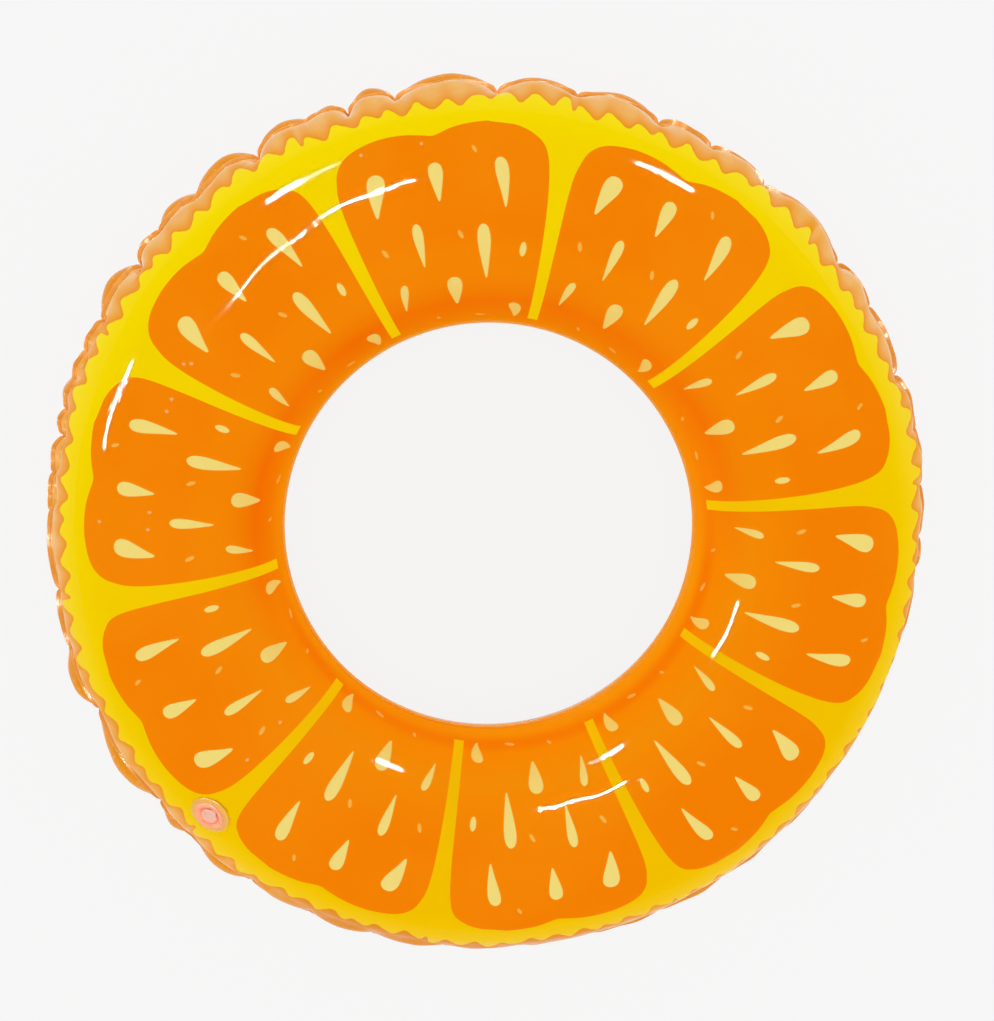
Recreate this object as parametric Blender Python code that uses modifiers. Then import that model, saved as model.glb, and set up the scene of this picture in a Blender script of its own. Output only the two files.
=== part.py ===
"""Inflatable swim ring with a citrus-slice print and one push-in air valve.

Two ring-shaped PVC films are welded together along the hole and along the outside. Blown up,
they make a tube of oval section. The outer weld is longer than the tube is round, so it gathers
into puckers with lobes of film between them. The valve stands on the upper film, its axis square
to the film there: a welded base disc with a raised collar, a thin web that rolls inside out when
the stem is pulled, the stem, its check flap, and a plug on a strap.

Metres. +Z is up, the ring lies flat on Z = 0 with its axis on Z, and the valve is on the -Y side.
"""

import math

import bmesh
import bpy
from mathutils import Matrix, Vector

# The blown-up ring
HOLE_R = 0.1625
INNER_WELD_WIDTH = 0.0020
OUTER_R = 0.3483
OUTER_WELD_WIDTH = 0.0030
TUBE_HEIGHT = 0.1700
REST_FLAT_DEPTH = 0.0005

# Sheet thicknesses and the gap between pieces that lie on each other
FILM_T = 0.0003
WELD_T = 0.0006
SEAT_GAP = 0.0003
WELD_LAP = 0.0015

# Puckers along the outer weld, and the lobes between them
PUCKERS = 36
COLUMNS_PER_PUCKER = 3
PUCKER_DEPTH = 0.0070
PUCKER_REACH_DEG = 28.0
PUCKER_POWER = 0.7
PUCKER_SHIFT = 0.16
LOBE_BULGE = 0.0052

# How far the outer weld rides up round the tube's section, and how that varies around the ring
WELD_RISE_DEG = 13.0
WELD_SWAY_DEG = 2.5
WELD_TWIST_DEG = 3.0
WELD_WAVE_DEG = 1.2
TWIST_AROUND = math.radians(46)
RISE_REACH_DEG = 46.0

# Rows of faces across each film, closest together beside the outer weld
WELD_ROWS_DEG = (7.0, 15.0, 27.0)
SHOULDER_ROWS = 2
CROWN_ROWS = 6
FLANK_ROWS = 3
BELLY_ROWS = 4
INNER_WELD_STEPS = 48

# Where the valve sits on the tube's section: 0 is the outer weld, 90 the top of the tube
VALVE_SECTION_DEG = 56.9
VALVE_AROUND = math.radians(-90)

# Valve base disc and collar
DISC_R = 0.0165
DISC_T = 0.0008
COLLAR_R = 0.0118
COLLAR_RISE = 0.0012
VALVE_MOUTH_R = 0.0095
FILM_HOLE_MARGIN = 0.0013

# Rolling web and the stem that it carries
WEB_T = 0.0005
WEB_CORNER_R = 0.0016
POCKET_DEPTH = 0.0092
STEM_R = 0.0055
STEM_BORE_R = 0.0036
STEM_TOP = 0.0006
STEM_LENGTH = 0.0136
FOOT_WIDTH = 0.0010
FOOT_T = 0.0008

# Check flap under the stem and the lug that holds its edge
FLAP_MARGIN = 0.0010
FLAP_T = 0.0006
LUG_WIDTH = 0.0030
LUG_T = 0.0006

# Plug, its finger tab and its strap
PLUG_HEAD_R = 0.0064
PLUG_HEAD_T = 0.0016
PLUG_DEPTH = 0.0076
PLUG_TAPER = 0.0004
TAB_R = 0.0022
TAB_REACH = 0.0019
TAB_T = 0.0010
STRAP_WIDTH = 0.0035
STRAP_T = 0.0007
STRAP_DROP = 0.0038
STRAP_BEND_R = 0.0008
RING_DEPTH = 0.0014
RING_T = 0.0010
RING_HEIGHT = 0.0012

TURN_STEPS = 24
CUTTER_STEPS = 40
MERGE = 1e-5
CLEAR = 0.006

# Derived places of the film's section
FILM_IN_R = HOLE_R + INNER_WELD_WIDTH
FILM_OUT_R = OUTER_R - OUTER_WELD_WIDTH
MID_R = (FILM_IN_R + FILM_OUT_R) / 2
HALF_W = (FILM_OUT_R - FILM_IN_R) / 2
HALF_H = TUBE_HEIGHT / 2
MID_Z = HALF_H - REST_FLAT_DEPTH
RIM_Z = WELD_T / 2 + SEAT_GAP
COLUMNS = PUCKERS * COLUMNS_PER_PUCKER
PITCH = 2 * math.pi / PUCKERS
PUCKER_REACH = math.radians(PUCKER_REACH_DEG)
RISE_REACH = math.radians(RISE_REACH_DEG)


def section_point(angle):
    """(radius, height above the mid plane) on the film's outside at an angle of the oval."""
    return MID_R + HALF_W * math.cos(angle), HALF_H * math.sin(angle)


def section_speed(angle):
    """Length of film for each radian of the oval's angle."""
    return math.hypot(HALF_W * math.sin(angle), HALF_H * math.cos(angle))


def evenly(start, end, count):
    return [start + (end - start) * i / count for i in range(count + 1)]


# The film lies flat under the collar, across one row of faces, and the valve stands on that row
VALVE_ANGLE = math.radians(VALVE_SECTION_DEG)
FLAT_HALF = (COLLAR_R + SEAT_GAP) / section_speed(VALVE_ANGLE)
RIM_ANGLE = math.asin(RIM_Z / HALF_H)
WELD_ANGLES = [RIM_ANGLE] + [math.radians(row) for row in WELD_ROWS_DEG]
UPPER_ANGLES = (
    WELD_ANGLES[:-1]
    + evenly(WELD_ANGLES[-1], VALVE_ANGLE - FLAT_HALF, SHOULDER_ROWS)
    + evenly(VALVE_ANGLE + FLAT_HALF, math.pi - RIM_ANGLE, CROWN_ROWS)
)
FLAT_ANGLE = math.asin(1 - REST_FLAT_DEPTH / HALF_H)
LOWER_ANGLES = (
    WELD_ANGLES[:-1]
    + evenly(WELD_ANGLES[-1], FLAT_ANGLE, FLANK_ROWS)
    + evenly(math.pi - FLAT_ANGLE, math.pi - RIM_ANGLE, BELLY_ROWS)
)


def valve_frame():
    """Matrix from valve coordinates to the ring's. Its origin is on the film's outside, on the
    valve's axis; local Z points out of the film and local Y up the slope."""
    low_r, low_z = section_point(VALVE_ANGLE - FLAT_HALF)
    high_r, high_z = section_point(VALVE_ANGLE + FLAT_HALF)
    chord = math.cos(math.pi / COLUMNS)
    low = Vector((low_r * chord, 0, low_z))
    high = Vector((high_r * chord, 0, high_z))
    lean = math.atan2(high.z - low.z, low.x - high.x)
    origin = (low + high) / 2 + Vector((0, 0, MID_Z))
    return (
        Matrix.Rotation(VALVE_AROUND, 4, "Z")
        @ Matrix.Translation(origin)
        @ Matrix.Rotation(math.radians(90), 4, "Z")
        @ Matrix.Rotation(lean, 4, "X")
    )


def eased(share):
    """A smooth step: 0 for a share of 0 or less, 1 for a share of 1."""
    share = max(0.0, share)
    return share * share * (3 - 2 * share)


def weld_rise(around):
    """The outer weld's height on the section at a place around the ring, as an angle."""
    sway = WELD_SWAY_DEG * math.cos(around - VALVE_AROUND)
    twist = WELD_TWIST_DEG * math.cos(2 * (around - TWIST_AROUND))
    wave = WELD_WAVE_DEG * math.sin(9 * around + 2.2 * math.sin(4 * around))
    return math.radians(WELD_RISE_DEG + sway + twist + wave)


def gathered(point):
    """Where a point of the smooth ring goes when the outer weld gathers. The film slides up round
    the section with the weld, draws in at each pucker, and bulges out between two puckers on both
    sides of the weld."""
    radius = math.hypot(point.x, point.y)
    around = math.atan2(point.y, point.x)
    across, height = (radius - MID_R) / HALF_W, (point.z - MID_Z) / HALF_H
    angle = math.atan2(height, across)
    slid = angle + eased(1 - abs(angle) / RISE_REACH) * weld_rise(around)
    size = math.hypot(across, height)
    radius = MID_R + HALF_W * size * math.cos(slid)
    share = min(1.0, abs(angle) / PUCKER_REACH)
    weight = eased(1 - share)
    crown = abs(math.cos(math.pi * (around - VALVE_AROUND) / PITCH))
    depth = PUCKER_DEPTH * (0.85 + 0.15 * math.sin(5 * around + 0.7))
    radius -= weight * depth * (1 - crown ** PUCKER_POWER)
    radius += LOBE_BULGE * crown * crown * 6.75 * share * (1 - share) ** 2
    around += weight * PUCKER_SHIFT * PITCH * math.sin(7 * around)
    height = MID_Z + HALF_H * size * math.sin(slid)
    return Vector((radius * math.cos(around), radius * math.sin(around), height))


def clear_scene():
    for obj in list(bpy.data.objects):
        bpy.data.objects.remove(obj, do_unlink=True)


def collection(name):
    made = bpy.data.collections.new(name)
    bpy.context.scene.collection.children.link(made)
    return made


def material(name, color, roughness, alpha=1.0):
    made = bpy.data.materials.new(name)
    made.use_nodes = True
    shader = made.node_tree.nodes["Principled BSDF"]
    shader.inputs["Base Color"].default_value = (*color, 1.0)
    shader.inputs["Roughness"].default_value = roughness
    shader.inputs["Metallic"].default_value = 0.0
    shader.inputs["Alpha"].default_value = alpha
    return made


def add_object(name, mesh, where, finish=None):
    made = bpy.data.objects.new(name, mesh)
    where.objects.link(made)
    if finish:
        mesh.materials.append(finish)
        mesh.shade_smooth()
        mesh.set_sharp_from_angle(angle=math.radians(35))
    return made


def baked(obj):
    """The object's evaluated mesh as data of its own; the object itself is removed."""
    graph = bpy.context.evaluated_depsgraph_get()
    mesh = bpy.data.meshes.new_from_object(obj.evaluated_get(graph))
    bpy.data.objects.remove(obj, do_unlink=True)
    return mesh


def turned_mesh(points, steps, where, closed=False):
    """A profile of (radius, height) points turned about Z, listed from the top down on the
    outside. A closed profile comes back up on the inside."""
    mesh = bpy.data.meshes.new("profile")
    ends = len(points) if closed else len(points) - 1
    edges = [(i, (i + 1) % len(points)) for i in range(ends)]
    mesh.from_pydata([(radius, 0, height) for radius, height in points], edges, [])
    obj = add_object("profile", mesh, where)
    turn = obj.modifiers.new("Turn", "SCREW")
    turn.axis = "Z"
    turn.angle = 2 * math.pi
    turn.steps = turn.render_steps = steps
    turn.use_merge_vertices = True
    turn.merge_threshold = MERGE
    return baked(obj)


def arc(center_x, center_y, radius, start_deg, end_deg, count):
    angles = evenly(math.radians(start_deg), math.radians(end_deg), count)
    return [(center_x + radius * math.cos(a), center_y + radius * math.sin(a)) for a in angles]


def pucker_ring(mesh):
    """Turns the ring so that a pucker's crown faces the valve, then gathers its outer weld."""
    mesh.transform(Matrix.Rotation(VALVE_AROUND + PITCH / 2, 4, "Z"))
    for vertex in mesh.vertices:
        vertex.co = gathered(vertex.co)
    mesh.update()


def solidify(obj, thickness, offset):
    shell = obj.modifiers.new("Thickness", "SOLIDIFY")
    shell.thickness = thickness
    shell.offset = offset
    shell.use_even_offset = True


def boolean(obj, operation, other):
    step = obj.modifiers.new(operation.title(), "BOOLEAN")
    step.operation = operation
    step.solver = "EXACT"
    step.object = other


def cutter(name, mesh, matrix, where):
    made = add_object(name, mesh, where)
    made.matrix_world = matrix
    made.hide_render = True
    made.display_type = "WIRE"
    return made


def cylinder_mesh(radius, low, high, steps=CUTTER_STEPS):
    shape = bmesh.new()
    bmesh.ops.create_cone(
        shape, cap_ends=True, segments=steps, radius1=radius, radius2=radius, depth=high - low
    )
    bmesh.ops.translate(shape, vec=(0, 0, (low + high) / 2), verts=shape.verts)
    mesh = bpy.data.meshes.new("cylinder")
    shape.to_mesh(mesh)
    shape.free()
    return mesh


def box_mesh(low, high):
    size = [b - a for a, b in zip(low, high)]
    middle = [(a + b) / 2 for a, b in zip(low, high)]
    shape = bmesh.new()
    bmesh.ops.create_cube(shape, size=1.0)
    bmesh.ops.scale(shape, vec=size, verts=shape.verts)
    bmesh.ops.translate(shape, vec=middle, verts=shape.verts)
    mesh = bpy.data.meshes.new("box")
    shape.to_mesh(mesh)
    shape.free()
    return mesh


def film_surface(angles, side, where):
    """The outside of one film as an open surface. side is 1 for the upper film, -1 for the lower."""
    points = [section_point(angle) for angle in angles]
    profile = [(radius, MID_Z + side * height) for radius, height in points]
    mesh = turned_mesh(profile[::-side], COLUMNS, where)
    pucker_ring(mesh)
    return mesh


def upper_film(parts, cutters, valve, finish):
    film = add_object("upper_film", film_surface(UPPER_ANGLES, 1, parts), parts, finish)
    solidify(film, FILM_T, -1)
    hole = cylinder_mesh(VALVE_MOUTH_R + FILM_HOLE_MARGIN, -CLEAR, CLEAR)
    boolean(film, "DIFFERENCE", cutter("film_hole_cutter", hole, valve, cutters))
    return film


def lower_film(parts, finish):
    film = add_object("lower_film", film_surface(LOWER_ANGLES, -1, parts), parts, finish)
    solidify(film, FILM_T, -1)
    return film


def weld_seams(parts, finish):
    """The two fused rims. Each film's edge stands on them, WELD_LAP in from the free width."""
    top, bottom = MID_Z + WELD_T / 2, MID_Z - WELD_T / 2
    outer = [(OUTER_R, top), (OUTER_R, bottom), (FILM_OUT_R - WELD_LAP, bottom)]
    outer.append((FILM_OUT_R - WELD_LAP, top))
    mesh = turned_mesh(outer, COLUMNS, parts, closed=True)
    pucker_ring(mesh)
    add_object("outer_weld_seam", mesh, parts, finish)
    inner = [(FILM_IN_R + WELD_LAP, top), (FILM_IN_R + WELD_LAP, bottom), (HOLE_R, bottom)]
    inner.append((HOLE_R, top))
    mesh = turned_mesh(inner, INNER_WELD_STEPS, parts, closed=True)
    add_object("inner_weld_seam", mesh, parts, finish)


def valve_base(parts, cutters, valve, finish):
    """A disc that follows the film's faces at the seat gap, with a raised collar round the mouth."""
    mesh = film_surface(UPPER_ANGLES, 1, parts)
    patch = bmesh.new()
    patch.from_mesh(mesh)
    center = valve.translation
    span = 2 * DISC_R + section_speed(VALVE_ANGLE) * (UPPER_ANGLES[-1] - UPPER_ANGLES[-2])
    far = [f for f in patch.faces if (f.calc_center_median() - center).length > span]
    bmesh.ops.delete(patch, geom=far, context="FACES")
    patch.normal_update()
    lifted = [v.co + v.normal * v.calc_shell_factor() * SEAT_GAP for v in patch.verts]
    for vertex, place in zip(patch.verts, lifted):
        vertex.co = place
    patch.to_mesh(mesh)
    patch.free()
    base = add_object("valve_base", mesh, parts, finish)
    solidify(base, DISC_T, 1)
    collar_top = SEAT_GAP + DISC_T + COLLAR_RISE
    edge = COLLAR_RISE / 2
    profile = [(0, collar_top)] + arc(COLLAR_R - edge, collar_top - edge, edge, 90, 0, 3)
    profile += [(COLLAR_R, SEAT_GAP + DISC_T / 2), (0, SEAT_GAP + DISC_T / 2)]
    collar = turned_mesh(profile, CUTTER_STEPS, parts)
    disc = cylinder_mesh(DISC_R, -CLEAR, CLEAR)
    mouth = cylinder_mesh(VALVE_MOUTH_R, -CLEAR, CLEAR)
    boolean(base, "INTERSECT", cutter("disc_cutter", disc, valve, cutters))
    boolean(base, "UNION", cutter("collar_form", collar, valve, cutters))
    boolean(base, "DIFFERENCE", cutter("mouth_cutter", mouth, valve, cutters))
    return base


def valve_web(parts, valve, finish):
    """The thin cup that hangs from the mouth and carries the stem's foot; it rolls inside out."""
    wall_r = VALVE_MOUTH_R - SEAT_GAP - WEB_T / 2
    floor = -POCKET_DEPTH
    top = SEAT_GAP + DISC_T + COLLAR_RISE / 2
    inner_r = STEM_R + FOOT_WIDTH + SEAT_GAP
    profile = [(wall_r, top), (wall_r, floor / 2)]
    profile += arc(wall_r - WEB_CORNER_R, floor + WEB_CORNER_R, WEB_CORNER_R, 0, -90, 3)
    profile += [(inner_r, floor)]
    mesh = turned_mesh(profile, TURN_STEPS, parts)
    web = add_object("valve_web", mesh, parts, finish)
    web.matrix_world = valve
    solidify(web, WEB_T, 0)
    return web


def valve_stem(parts, cutters, travel, finish):
    """The tube that is blown into, with the foot that the web holds and the lug over the flap."""
    bottom = STEM_TOP - STEM_LENGTH
    foot_r = STEM_R + FOOT_WIDTH
    foot_top = -POCKET_DEPTH + FOOT_T / 2
    profile = [(STEM_R, STEM_TOP), (STEM_R, foot_top), (foot_r, foot_top)]
    profile += [(foot_r, foot_top - FOOT_T), (STEM_R, foot_top - FOOT_T), (STEM_R, bottom)]
    profile += [(STEM_BORE_R, bottom), (STEM_BORE_R, STEM_TOP)]
    stem = add_object("valve_stem", turned_mesh(profile, TURN_STEPS, parts, True), parts, finish)
    stem.matrix_world = travel
    near = STEM_BORE_R + FLAP_MARGIN + SEAT_GAP
    lug = box_mesh(
        (-LUG_WIDTH / 2, near, bottom - SEAT_GAP - FLAP_T / 2),
        (LUG_WIDTH / 2, near + LUG_T, bottom + LUG_T),
    )
    boolean(stem, "UNION", cutter("lug_form", lug, travel, cutters))
    return stem


def check_flap(parts, travel, finish):
    """A loose disc under the stem. Its hinge line is midway across its gap to the lug."""
    radius = STEM_BORE_R + FLAP_MARGIN
    hinge = Vector((0, radius + SEAT_GAP / 2, STEM_TOP - STEM_LENGTH - SEAT_GAP - FLAP_T / 2))
    mesh = cylinder_mesh(radius, -FLAP_T / 2, FLAP_T / 2, TURN_STEPS)
    mesh.transform(Matrix.Translation((0, -hinge.y, 0)))
    flap = add_object("check_flap", mesh, parts, finish)
    flap.matrix_world = travel @ Matrix.Translation(hinge)
    return flap


def valve_plug(parts, cutters, travel, finish):
    """A tapered stopper with a round head and a finger tab that reaches over the pocket."""
    under = STEM_TOP + SEAT_GAP
    top = under + PLUG_HEAD_T
    edge = PLUG_HEAD_T / 2
    fit_r = STEM_BORE_R - SEAT_GAP
    tip = under - PLUG_DEPTH
    tip_r = fit_r - PLUG_TAPER
    profile = [(0, top)] + arc(PLUG_HEAD_R - edge, under + edge, edge, 90, -90, 6)
    profile += [(fit_r, under)] + arc(tip_r - edge, tip + edge, edge, 0, -90, 3) + [(0, tip)]
    plug = add_object("valve_plug", turned_mesh(profile, TURN_STEPS, parts), parts, finish)
    plug.matrix_world = travel
    tab = cylinder_mesh(TAB_R, 0, TAB_T, TURN_STEPS)
    middle = PLUG_HEAD_R + TAB_REACH - TAB_R
    tab.transform(Matrix.Translation((0, middle, under + (PLUG_HEAD_T - TAB_T) / 2)))
    boolean(plug, "UNION", cutter("tab_form", tab, travel, cutters))
    return plug


def strap_path():
    """(distance from the axis, height) along the strap, from its ring on the stem down into the
    pocket, round a bend and up to the edge of the plug's head."""
    leg = STEM_R + SEAT_GAP + RING_T / 2
    ring_middle = -RING_DEPTH
    bend = ring_middle - STRAP_DROP
    outer_leg = leg + 2 * STRAP_BEND_R
    end = PLUG_HEAD_R + SEAT_GAP
    top_r = outer_leg - end
    top = STEM_TOP + SEAT_GAP + PLUG_HEAD_T / 2
    path = [(leg, ring_middle)] + arc(leg + STRAP_BEND_R, bend, STRAP_BEND_R, 180, 360, 6)
    return path + arc(end, top - top_r, top_r, 0, 90, 4)


def plug_strap(parts, cutters, travel, finish):
    """A narrow band from the plug's head to a ring that is slipped over the stem."""
    curve = bpy.data.curves.new("strap_path", "CURVE")
    curve.dimensions = "3D"
    curve.extrude = STRAP_WIDTH / 2
    points = strap_path()
    line = curve.splines.new("POLY")
    line.points.add(len(points) - 1)
    for point, (away, height) in zip(line.points, points):
        point.co = (away, height, 0, 1)
    ribbon = bpy.data.objects.new("ribbon", curve)
    parts.objects.link(ribbon)
    mesh = baked(ribbon)
    mesh.transform(Matrix(((0, 0, 1, 0), (-1, 0, 0, 0), (0, 1, 0, 0), (0, 0, 0, 1))))
    strap = add_object("plug_strap", mesh, parts, finish)
    strap.matrix_world = travel
    solidify(strap, STRAP_T, 0)
    inner, outer = STEM_R + SEAT_GAP, STEM_R + SEAT_GAP + RING_T
    top, bottom = -RING_DEPTH + RING_HEIGHT / 2, -RING_DEPTH - RING_HEIGHT / 2
    ring = turned_mesh(
        [(outer, top), (outer, bottom), (inner, bottom), (inner, top)], TURN_STEPS, parts, True
    )
    boolean(strap, "UNION", cutter("strap_ring_form", ring, travel, cutters))
    return strap


def attach(child, parent):
    """Parents a piece without moving it."""
    place = child.matrix_world.copy()
    child.parent = parent
    child.matrix_parent_inverse = parent.matrix_world.inverted()
    child.matrix_world = place


def build():
    clear_scene()
    parts = collection("swim_ring")
    cutters = collection("cutters")
    orange = material("printed_film", (0.95, 0.30, 0.01), 0.22)
    back = material("back_film", (0.93, 0.33, 0.02), 0.25)
    weld = material("weld", (0.95, 0.52, 0.22), 0.3)
    pink = material("valve_vinyl", (0.93, 0.42, 0.30), 0.3)
    valve = valve_frame()
    stem_axis = bpy.data.objects.new("stem_axis", None)
    parts.objects.link(stem_axis)
    stem_axis.matrix_world = valve
    upper_film(parts, cutters, valve, orange)
    lower_film(parts, back)
    weld_seams(parts, weld)
    valve_base(parts, cutters, valve, pink)
    valve_web(parts, valve, pink)
    stem = valve_stem(parts, cutters, valve, pink)
    attach(stem, stem_axis)
    attach(check_flap(parts, valve, pink), stem)
    attach(valve_plug(parts, cutters, valve, pink), stem)
    attach(plug_strap(parts, cutters, valve, pink), stem)


build()
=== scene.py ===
"""Looks of the inflatable swim ring: the two printed films with their puckered outer weld, the
valve with its moving pieces, the floor, the lights and the camera.

Metres, +Z up, the ring's axis on Z and the valve on the -Y side. The print is laid out in
millimetres on the flat film: a distance in from the hole's weld and an angle round the hole.
"""

import functools
import math

import bmesh
import bpy
import numpy as np
from mathutils import Matrix, Vector


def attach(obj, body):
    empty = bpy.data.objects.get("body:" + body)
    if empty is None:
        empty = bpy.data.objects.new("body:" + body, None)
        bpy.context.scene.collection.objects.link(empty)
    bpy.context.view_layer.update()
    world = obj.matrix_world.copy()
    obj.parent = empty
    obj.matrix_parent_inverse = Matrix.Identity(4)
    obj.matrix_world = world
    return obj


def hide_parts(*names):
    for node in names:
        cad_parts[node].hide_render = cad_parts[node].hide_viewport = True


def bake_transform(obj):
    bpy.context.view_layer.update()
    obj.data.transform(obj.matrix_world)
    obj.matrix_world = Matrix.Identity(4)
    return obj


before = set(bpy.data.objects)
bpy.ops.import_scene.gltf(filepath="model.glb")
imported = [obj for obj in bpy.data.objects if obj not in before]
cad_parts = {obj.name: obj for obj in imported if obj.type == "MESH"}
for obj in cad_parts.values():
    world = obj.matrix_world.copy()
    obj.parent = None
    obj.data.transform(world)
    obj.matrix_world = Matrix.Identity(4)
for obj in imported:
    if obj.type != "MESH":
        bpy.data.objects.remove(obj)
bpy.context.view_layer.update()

# The blown-up ring, as the solids have it
HOLE_R = 0.1625
FILM_IN_R = 0.1645
FILM_OUT_R = 0.3453
OUTER_R = 0.3483
HALF_H = 0.0850
REST_FLAT_DEPTH = 0.0005
MID_Z = HALF_H - REST_FLAT_DEPTH
FILM_T = 0.0003
WELD_T = 0.0006
SEAT_GAP = 0.0003
WELD_LAP = 0.0015
MID_R = (FILM_IN_R + FILM_OUT_R) / 2
HALF_W = (FILM_OUT_R - FILM_IN_R) / 2
RIM_ANGLE = math.asin((WELD_T / 2 + SEAT_GAP) / HALF_H)
CENTRE = Vector((0, 0, MID_Z))
SOLID_COLUMNS = 108

# The outer weld's height on the section, in degrees, and how that varies around the ring
WELD_RISE_DEG = 13.0
WELD_SWAY_DEG = 2.5
WELD_TWIST_DEG = 3.0
WELD_WAVE_DEG = 1.6
LOBE_TILT_DEG = 2.2
TWIST_AROUND = math.radians(46)
RISE_REACH = math.radians(46)
VALVE_AROUND = math.radians(-90)

# Puckers of the outer weld. Each is degrees around from the print's own zero, how deep it draws
# in, and how far the upper and the lower film swell on the lobe that follows it, millimetres.
PRINT_TURN_DEG = 45.47
PUCKERS = (
    (6.5, 3, 3.5, 4.5), (14, 2, 2.5, 4), (21.5, 8, 1, 2), (31, 4, 3, 4), (38, 7, 6, 7),
    (52, 7, 3, 4.5), (60.5, 6, 0.5, 2), (68, 8, 3, 6), (79, 6, 3, 5.5), (89.3, 10, 3.5, 7.5),
    (102.5, 8, 3, 7), (108.8, 10, 2, 4.5), (114, 2, 2.5, 7.5), (121.7, 10, 1.5, 8.5),
    (131, 4, 1, 6.5), (137.5, 3, 1, 4), (142.4, 10, 1, 7.5), (151, 6, -1, -0.5),
    (155.5, 3.5, -2, -1), (159.5, 2.5, 0.5, 4.5), (163.5, 4, -1.5, -0.5), (167, 8, -2, 0.5),
    (172, 3, -1.5, 0.5), (177, 2.5, 0, 2), (187.5, 5, 0.5, 4), (195.3, 2, 1.5, 11),
    (204.5, 5.5, 1.5, 11.5), (219.5, 5, 1.5, 8.5), (226, 1, 3, 11), (236, 3, 4, 7),
    (245, 1, 5, 7), (254, 1, 4, 5.5), (264, 1, 2.3, 3.5), (274, 3, 1, 2), (284, 3, 0, 1),
    (294, 3, -0.5, 1), (304, 3, 0, 1.5), (314, 3, 1, 2), (324, 3, 0.5, 2), (334, 3, 0.5, 2),
    (344, 3, 0.5, 1.5), (355, 5, 0, 1.5), (359.5, 4, 1.5, 2.5),
)
# How far up the section a pucker of no depth reaches, and each millimetre of depth adds
PUCKER_REACH_DEG = 3.0
PUCKER_REACH_PER_MM = 3.2
LOBE_REACH = math.radians(26)
# Brings a lobe's swell to its full size where it is highest, a third of its reach up
SWELL_PEAK = 27 / 4
# Small unevenness of the outer weld and of the films, metres
RIPPLE = 0.0005
RIPPLE_REACH = math.radians(22)
SLACK = 0.00012
# The weld is drawn in a little more on one side
DRAW_IN = 0.0050
DRAW_AROUND = math.radians(341 + PRINT_TURN_DEG)
DRAW_SPREAD = math.radians(42)
COLUMNS_PER_LOBE = 16
HOLE_COLUMNS = 360
# Rows of the mesh up the section, in degrees, and from which angle on how many follow evenly
NEAR_ROWS_DEG = (
    1.0, 2.1, 3.3, 4.6, 6, 7.5, 9, 10.7, 12.5, 14.4, 16.4, 18.5, 20.7, 23, 25.5, 28, 31,
)
FAR_START_DEG = 34
FAR_ROWS = 46

# The valve's place and sizes, as the solids have them. Ridges, corners and soft edges are finer.
VALVE_ANGLE = math.radians(56.9)
COLLAR_R = 0.0118
DISC_R = 0.0165
DISC_T = 0.0008
COLLAR_RISE = 0.0012
LIP_R = 0.0004
SOFT_R = 0.0003
WELD_RIDGES = (0.0131, 0.0141, 0.0151)
RIDGE_OUTLINE = ((-0.0003, 0), (-0.0001, 0.00014), (0.0001, 0.00014), (0.0003, 0))
MOUTH_R = 0.0095
FILM_HOLE_R = 0.0108
WEB_T = 0.0005
WEB_CORNER_R = 0.0016
POCKET_DEPTH = 0.0092
STEM_R = 0.0055
STEM_BORE_R = 0.0036
STEM_TOP = 0.0006
STEM_LENGTH = 0.0136
FOOT_WIDTH = 0.0010
FOOT_T = 0.0008
FLAP_MARGIN = 0.0010
FLAP_T = 0.0006
FLAP_EDGE_R = 0.0001
LUG_WIDTH = 0.0030
LUG_T = 0.0006
PLUG_HEAD_R = 0.0064
PLUG_HEAD_T = 0.0016
PLUG_DEPTH = 0.0076
PLUG_TAPER = 0.0004
TAB_R = 0.0022
TAB_REACH = 0.0019
TAB_T = 0.0010
TAB_EDGE_R = 0.0002
STRAP_WIDTH = 0.0035
STRAP_T = 0.0007
STRAP_DROP = 0.0038
STRAP_BEND_R = 0.0008
RING_DEPTH = 0.0014
RING_T = 0.0010
RING_HEIGHT = 0.0012
# The film is flat to this radius round the valve and follows the oval again after the fade
FLAT_R = 0.0125
FLAT_FADE = 0.009
NEAR_VALVE = 0.03

# The print: ten alike segments of 36 degrees, laid out as (degrees, millimetres from the hole)
SEGMENT_DEG = 36.0
FIRST_DIVIDER_DEG = 8.4
FLAT_HOLE_MM = 164.5
SPAN_MM = 280.0
# How the print sits off the middle, and how unevenly the film has stretched, in millimetres
# outwards and degrees around. A wave is (times around, size, phase in radians).
PRINT_OFFSET_MM = (3.4, 0.4)
STRETCH_OUT_MM = 1.4
STRETCH_OUT_WAVES = ((1, 0.8, 1.54), (2, 1.2, 1.83))
STRETCH_AROUND_WAVES = ((1, 0.34, 0.94), (2, 0.28, 0.19))
DIVIDER_START_MM = 29.0
LEFT_SIDE = (
    (0, 1.3), (120, 1.35), (150, 1.7), (165, 2.05), (175, 2.5), (182, 3.1), (188, 4.2),
    (193, 5.6), (197, 7.6), (200, 11), (280, 14),
)
RIGHT_SIDE = (
    (0, 34.5), (60, 34.7), (130, 34.6), (150, 34.4), (162, 34.1), (172, 33.55), (180, 32.9),
    (186, 32.0), (190, 31.0), (194, 29.0), (198, 26), (280, 24),
)
SEGMENT_TOP = (
    (0, 150), (1.7, 166), (2.3, 176), (3.5, 186.5), (5, 192.2), (7, 197.2), (10, 199.5),
    (13.4, 198), (16, 194.8), (17.6, 191.4), (18.6, 189.8), (20, 191.4), (22.4, 194.6),
    (26, 196), (28.2, 194.8), (30.4, 191.6), (32, 186), (33, 179), (33.8, 168), (36, 140),
)
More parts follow.
